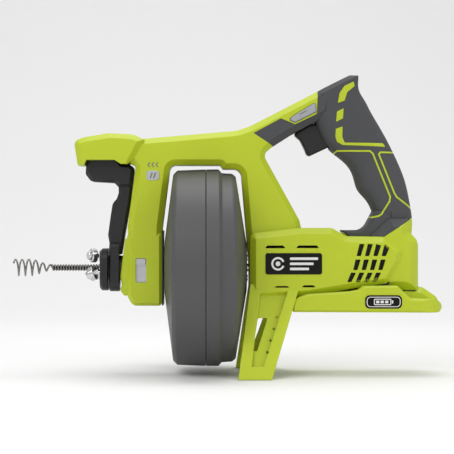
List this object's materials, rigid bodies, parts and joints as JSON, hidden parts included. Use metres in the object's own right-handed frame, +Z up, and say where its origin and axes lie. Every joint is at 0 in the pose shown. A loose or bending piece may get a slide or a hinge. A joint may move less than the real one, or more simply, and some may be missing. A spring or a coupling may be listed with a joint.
{
  "type": "cordless drum drain snake machine",
  "caption": "Hand-held cordless drain auger: a drum of wound steel cable turned by a geared motor, with a lever-operated roller feed, a D-shaped grip and splayed stand legs.",
  "frame": {"origin": "on the ground, midway along the machine and on the plane where the two housing halves meet", "axes": "-X is the way the cable leaves, +X towards the battery shoe, -Y is the left side as seen by the person holding the grip with the cable pointing away, +Z up"},
  "size_m": [0.4255, 0.196, 0.2972],
  "materials": {
    "shell": "semi-matt moulded lime green plastic",
    "soft_grip": "dotted dark grey soft grip",
    "drum_plastic": "finely textured dark grey plastic",
    "black_plastic": "semi-gloss black plastic",
    "badge": "black badge with plain marks",
    "silver_label": "satin silver label",
    "selector_plastic": "light grey plastic",
    "cable_steel": "wound spring steel",
    "bright_steel": "polished steel",
    "dark_screw": "dark zinc plate",
    "plain_steel": "plain steel",
    "cast_metal": "cast aluminium",
    "magnet": "sintered magnet",
    "winding": "laminated core with copper winding",
    "contact_brass": "plated brass",
    "bronze": "sintered bronze"
  },
  "bodies": {
    "housing": {"housing_left": "shell", "housing_right": "shell", "grip_cover_left": "soft_grip", "grip_cover_right": "soft_grip", "housing_screws": "dark_screw", "side_badge_left": "badge", "side_badge_right": "badge", "shoe_badge_left": "badge", "shoe_badge_right": "badge", "feed_badge_left": "silver_label", "feed_badge_right": "silver_label", "gearbox_case": "cast_metal", "gearbox_cover": "cast_metal", "ring_gear": "plain_steel", "spindle_bearing": "bright_steel", "motor_can": "plain_steel", "motor_magnets": "magnet", "motor_end_cap": "black_plastic", "feed_head": "black_plastic", "guide_tube": "cable_steel", "feed_bracket": "plain_steel", "front_bearing": "bronze", "wear_plate": "black_plastic", "lever_spring": "cable_steel", "switch_module": "black_plastic", "battery_receiver": "black_plastic", "battery_terminals": "contact_brass"},
    "drum": {"drum_front_shell": "drum_plastic", "drum_rear_shell": "drum_plastic", "drum_spindle": "bright_steel", "hub_screws": "bright_steel", "cable_coil": "cable_steel"},
    "cable": {"cable_lead": "cable_steel", "auger_bulb": "cable_steel"},
    "first_carrier": {"stage_one_carrier": "plain_steel"},
    "rotor": {"rotor_shaft": "bright_steel", "armature": "winding", "cooling_fan": "black_plastic"},
    "lever": {"feed_lever": "black_plastic"},
    "trigger_body": {"trigger": "black_plastic"},
    "selector_body": {"direction_selector": "selector_plastic"},
    "output_planet_body_1": {"output_planet_1": "plain_steel"},
    "input_planet_body_1": {"input_planet_1": "plain_steel"},
    "output_planet_body_2": {"output_planet_2": "plain_steel"},
    "input_planet_body_2": {"input_planet_2": "plain_steel"},
    "output_planet_body_3": {"output_planet_3": "plain_steel"},
    "input_planet_body_3": {"input_planet_3": "plain_steel"},
    "carrier_1": {"roller_carrier_1": "bright_steel", "roller_screw_1": "bright_steel"},
    "roller_1": {"feed_roller_1": "bright_steel"},
    "carrier_2": {"roller_carrier_2": "bright_steel", "roller_screw_2": "bright_steel"},
    "roller_2": {"feed_roller_2": "bright_steel"},
    "carrier_3": {"roller_carrier_3": "bright_steel", "roller_screw_3": "bright_steel"},
    "roller_3": {"feed_roller_3": "bright_steel"}
  },
  "joints": [
    {"name": "drum_spin", "type": "hinge", "parent": "housing", "child": "drum", "pos_m": [0, 0, 0.1055], "axis": [1, 0, 0], "continuous": true},
    {"name": "cable_feed", "type": "slide", "parent": "drum", "child": "cable", "axis": [-1, 0, 0], "range_m": [0, 0.04]},
    {"name": "first_carrier_spin", "type": "hinge", "parent": "housing", "child": "first_carrier", "pos_m": [0, 0, 0.1055], "axis": [1, 0, 0], "continuous": true},
    {"name": "rotor_spin", "type": "hinge", "parent": "housing", "child": "rotor", "pos_m": [0, 0, 0.1055], "axis": [1, 0, 0], "continuous": true},
    {"name": "output_planet_spin_1", "type": "hinge", "parent": "drum", "child": "output_planet_body_1", "pos_m": [0.0385, 0.0135, 0.1055], "axis": [1, 0, 0], "continuous": true},
    {"name": "input_planet_spin_1", "type": "hinge", "parent": "first_carrier", "child": "input_planet_body_1", "pos_m": [0.0535, 0.0135, 0.1055], "axis": [1, 0, 0], "continuous": true},
    {"name": "output_planet_spin_2", "type": "hinge", "parent": "drum", "child": "output_planet_body_2", "pos_m": [0.0385, -0.00675, 0.11719], "axis": [1, 0, 0], "continuous": true},
    {"name": "input_planet_spin_2", "type": "hinge", "parent": "first_carrier", "child": "input_planet_body_2", "pos_m": [0.0535, -0.00675, 0.11719], "axis": [1, 0, 0], "continuous": true},
    {"name": "output_planet_spin_3", "type": "hinge", "parent": "drum", "child": "output_planet_body_3", "pos_m": [0.0385, -0.00675, 0.09381], "axis": [1, 0, 0], "continuous": true},
    {"name": "input_planet_spin_3", "type": "hinge", "parent": "first_carrier", "child": "input_planet_body_3", "pos_m": [0.0535, -0.00675, 0.09381], "axis": [1, 0, 0], "continuous": true},
    {"name": "lever_squeeze", "type": "slide", "parent": "housing", "child": "lever", "axis": [0.1357, 0, 0.9907], "range_m": [0, 0.006], "stiffness_N_per_m": 600, "springref_m": -0.004, "deforming": ["lever_spring"]},
    {"name": "carrier_slide_1", "type": "slide", "parent": "housing", "child": "carrier_1", "axis": [0, 0, -1], "range_m": [0, 0.0015]},
    {"name": "roller_spin_1", "type": "hinge", "parent": "carrier_1", "child": "roller_1", "pos_m": [-0.1335, 0, 0.1175], "axis": [0.9063, 0.4226, 0], "continuous": true},
    {"name": "carrier_slide_2", "type": "slide", "parent": "housing", "child": "carrier_2", "axis": [0, 0.866, 0.5], "range_m": [0, 0.0015]},
    {"name": "roller_spin_2", "type": "hinge", "parent": "carrier_2", "child": "roller_2", "pos_m": [-0.1335, -0.01039, 0.0995], "axis": [0.9063, -0.2113, 0.366], "continuous": true},
    {"name": "carrier_slide_3", "type": "slide", "parent": "housing", "child": "carrier_3", "axis": [0, -0.866, 0.5], "range_m": [0, 0.0015]},
    {"name": "roller_spin_3", "type": "hinge", "parent": "carrier_3", "child": "roller_3", "pos_m": [-0.1335, 0.01039, 0.0995], "axis": [0.9063, -0.2113, -0.366], "continuous": true},
    {"name": "trigger_pull", "type": "slide", "parent": "housing", "child": "trigger_body", "axis": [0.8944, 0, 0.4472], "range_m": [0, 0.006], "stiffness_N_per_m": 700, "springref_m": -0.003},
    {"name": "selector_push", "type": "slide", "parent": "housing", "child": "selector_body", "axis": [0, 1, 0], "range_m": [-0.002, 0.002]}
  ],
  "couplings": [
    {"joint": "first_carrier_spin", "follows": "drum_spin", "ratio": 6},
    {"joint": "rotor_spin", "follows": "drum_spin", "ratio": 36},
    {"joint": "output_planet_spin_1", "follows": "drum_spin", "ratio": -2.5},
    {"joint": "input_planet_spin_1", "follows": "drum_spin", "ratio": -15},
    {"joint": "output_planet_spin_2", "follows": "drum_spin", "ratio": -2.5},
    {"joint": "input_planet_spin_2", "follows": "drum_spin", "ratio": -15},
    {"joint": "output_planet_spin_3", "follows": "drum_spin", "ratio": -2.5},
    {"joint": "input_planet_spin_3", "follows": "drum_spin", "ratio": -15},
    {"joint": "carrier_slide_1", "follows": "lever_squeeze", "ratio": 0.25},
    {"joint": "carrier_slide_2", "follows": "lever_squeeze", "ratio": 0.25},
    {"joint": "carrier_slide_3", "follows": "lever_squeeze", "ratio": 0.25}
  ]
}
